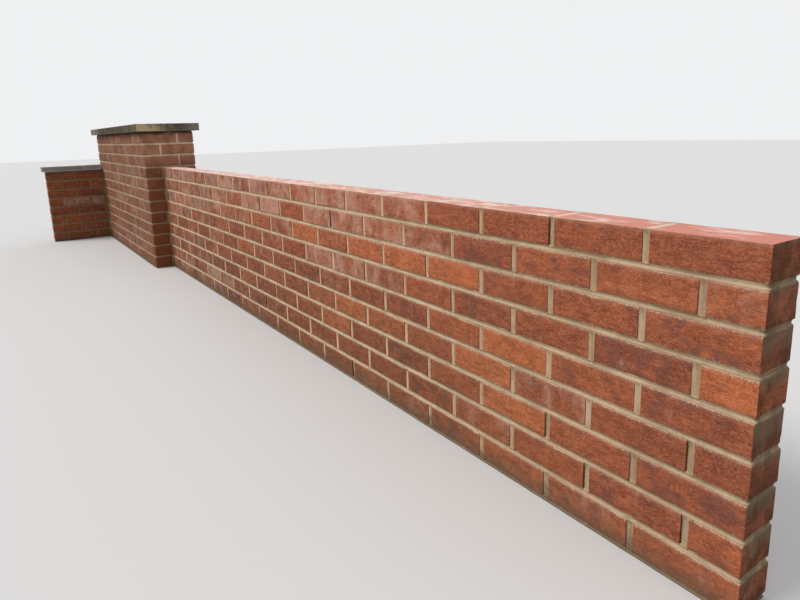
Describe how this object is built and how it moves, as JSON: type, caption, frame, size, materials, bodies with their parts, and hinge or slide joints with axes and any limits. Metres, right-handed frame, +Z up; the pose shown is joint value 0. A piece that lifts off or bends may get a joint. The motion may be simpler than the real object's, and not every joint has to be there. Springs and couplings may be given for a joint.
{
  "type": "brick garden wall",
  "caption": "Low garden wall of red brick in stretcher bond, running up to a taller coped brick pier with a short coped return wall.",
  "frame": {"origin": "ground level, in the middle of the plan", "axes": "+X along the low wall from the pier to the stop end, +Y away from the seen face, +Z up"},
  "size_m": [5.7638, 0.8374, 0.96],
  "materials": {
    "red_brick": "rough fired clay",
    "mortar": "sandy mortar, tooled",
    "coping_stone": "weathered cast stone",
    "return_slab": "weathered grey concrete"
  },
  "bodies": {
    "root": {"low_wall_course_1": "red_brick", "low_wall_course_2": "red_brick", "low_wall_course_3": "red_brick", "low_wall_course_4": "red_brick", "low_wall_course_5": "red_brick", "low_wall_course_6": "red_brick", "low_wall_course_7": "red_brick", "low_wall_course_8": "red_brick", "low_wall_course_9": "red_brick", "pier_course_1": "red_brick", "pier_course_2": "red_brick", "pier_course_3": "red_brick", "pier_course_4": "red_brick", "pier_course_5": "red_brick", "pier_course_6": "red_brick", "pier_course_7": "red_brick", "pier_course_8": "red_brick", "pier_course_9": "red_brick", "pier_course_10": "red_brick", "pier_course_11": "red_brick", "pier_course_12": "red_brick", "return_course_1": "red_brick", "return_course_2": "red_brick", "return_course_3": "red_brick", "return_course_4": "red_brick", "return_course_5": "red_brick", "return_course_6": "red_brick", "return_course_7": "red_brick", "return_course_8": "red_brick", "pier_coping_1": "coping_stone", "pier_coping_2": "coping_stone", "pier_coping_3": "coping_stone", "pier_coping_4": "coping_stone", "pier_coping_5": "coping_stone", "return_coping": "return_slab", "pier_coping_bed": "mortar", "pier_coping_joints": "mortar", "return_coping_bed": "mortar"}
  },
  "joints": []
}
